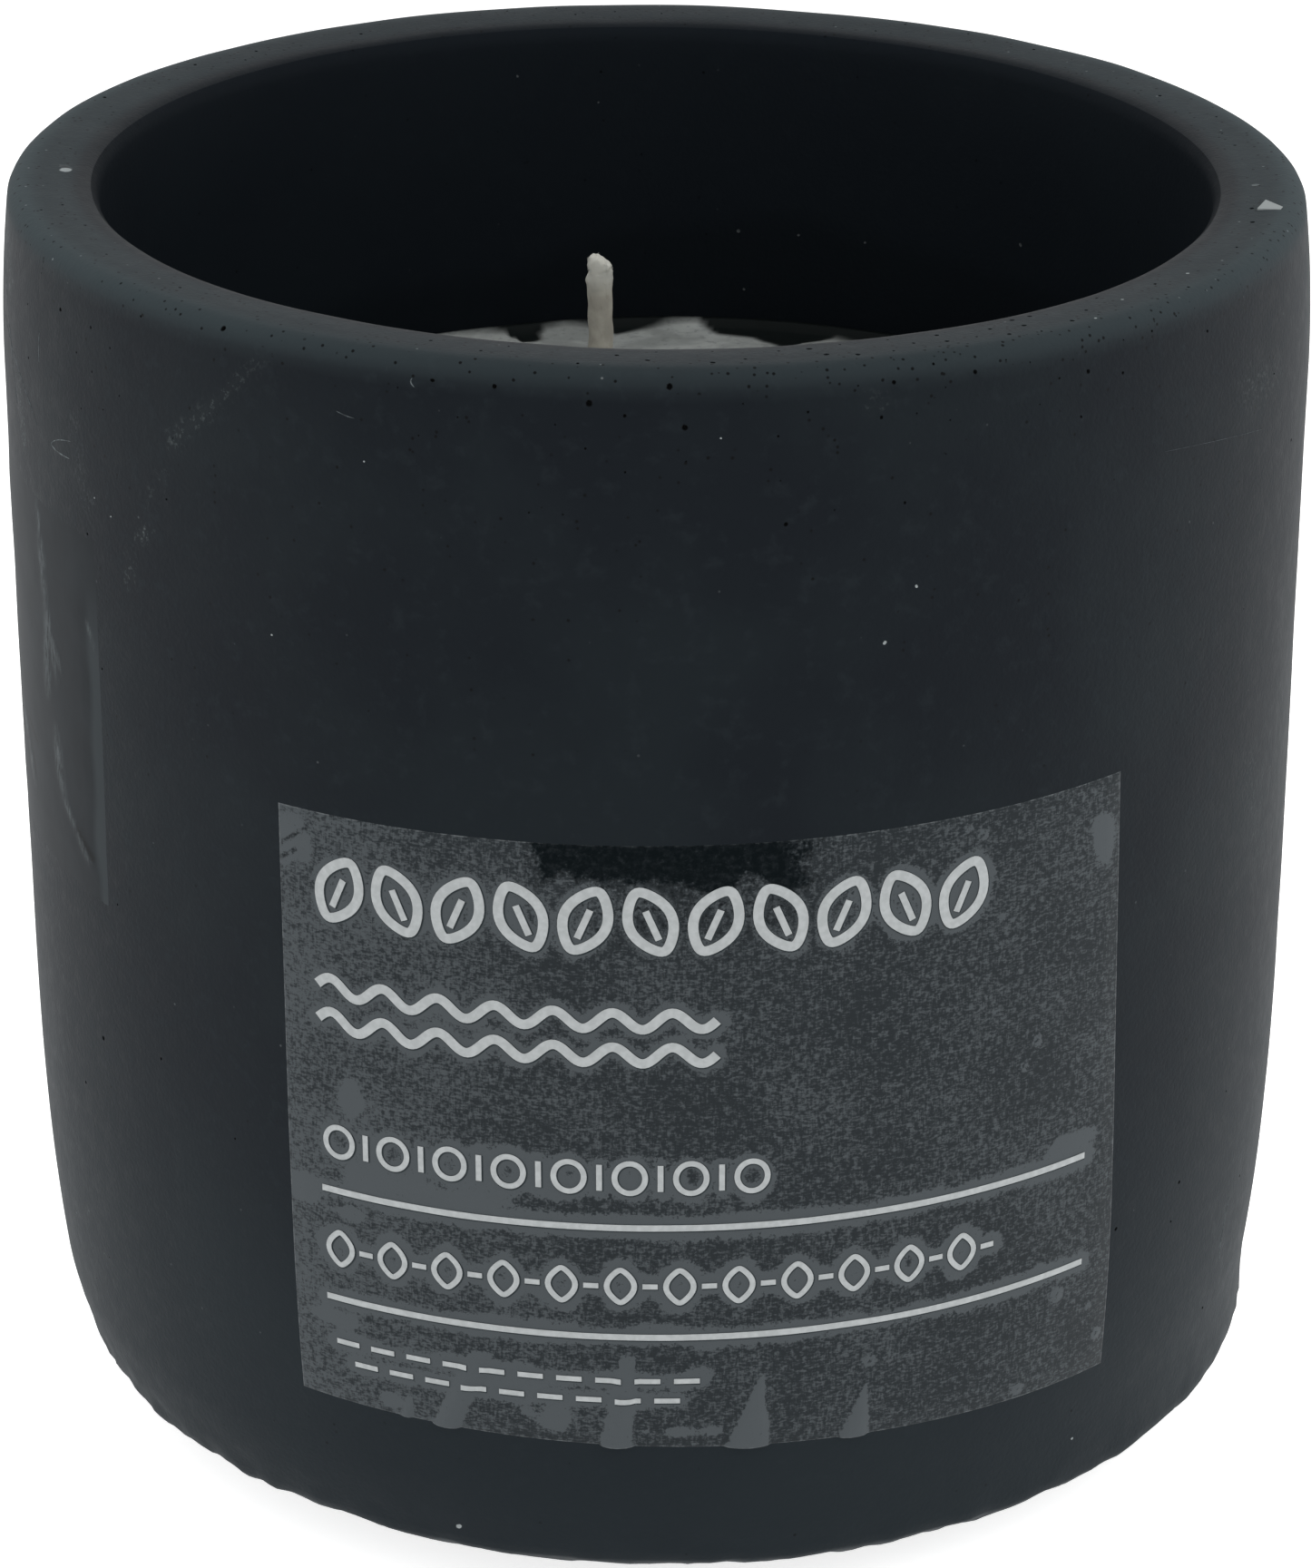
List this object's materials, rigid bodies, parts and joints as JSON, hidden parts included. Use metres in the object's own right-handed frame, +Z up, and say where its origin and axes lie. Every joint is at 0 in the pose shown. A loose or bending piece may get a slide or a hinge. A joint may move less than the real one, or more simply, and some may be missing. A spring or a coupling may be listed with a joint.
{
  "type": "candle pot",
  "caption": "Round cast cement pot with a round bottom corner, filled with wax around a central wick, with clear film labels on its wall.",
  "frame": {"origin": "centre of the pot's flat foot, on the surface that it stands on", "axes": "+Z up along the pot's axis, -Y out through the middle of the front label, +X to the right as seen from the front"},
  "size_m": [0.1001, 0.1001, 0.1],
  "materials": {
    "painted_cement": "matt blue-black paint on cast cement, pinholed and scuffed",
    "candle_wax": "soft white wax, frosted at its edge",
    "waxed_cotton": "braided cotton soaked in wax",
    "tinned_sheet": "tinned steel sheet",
    "foam_sticker": "white closed-cell foam with adhesive on both faces",
    "printed_clear_film": "clear label film with light grey print, silvered where air lies under it",
    "clear_film": "clear label film, creased"
  },
  "bodies": {
    "root": {"pot": "painted_cement", "wax": "candle_wax", "wick": "waxed_cotton", "wick_sustainer": "tinned_sheet", "wick_sticker": "foam_sticker", "front_label": "printed_clear_film", "side_label": "clear_film"}
  },
  "joints": []
}
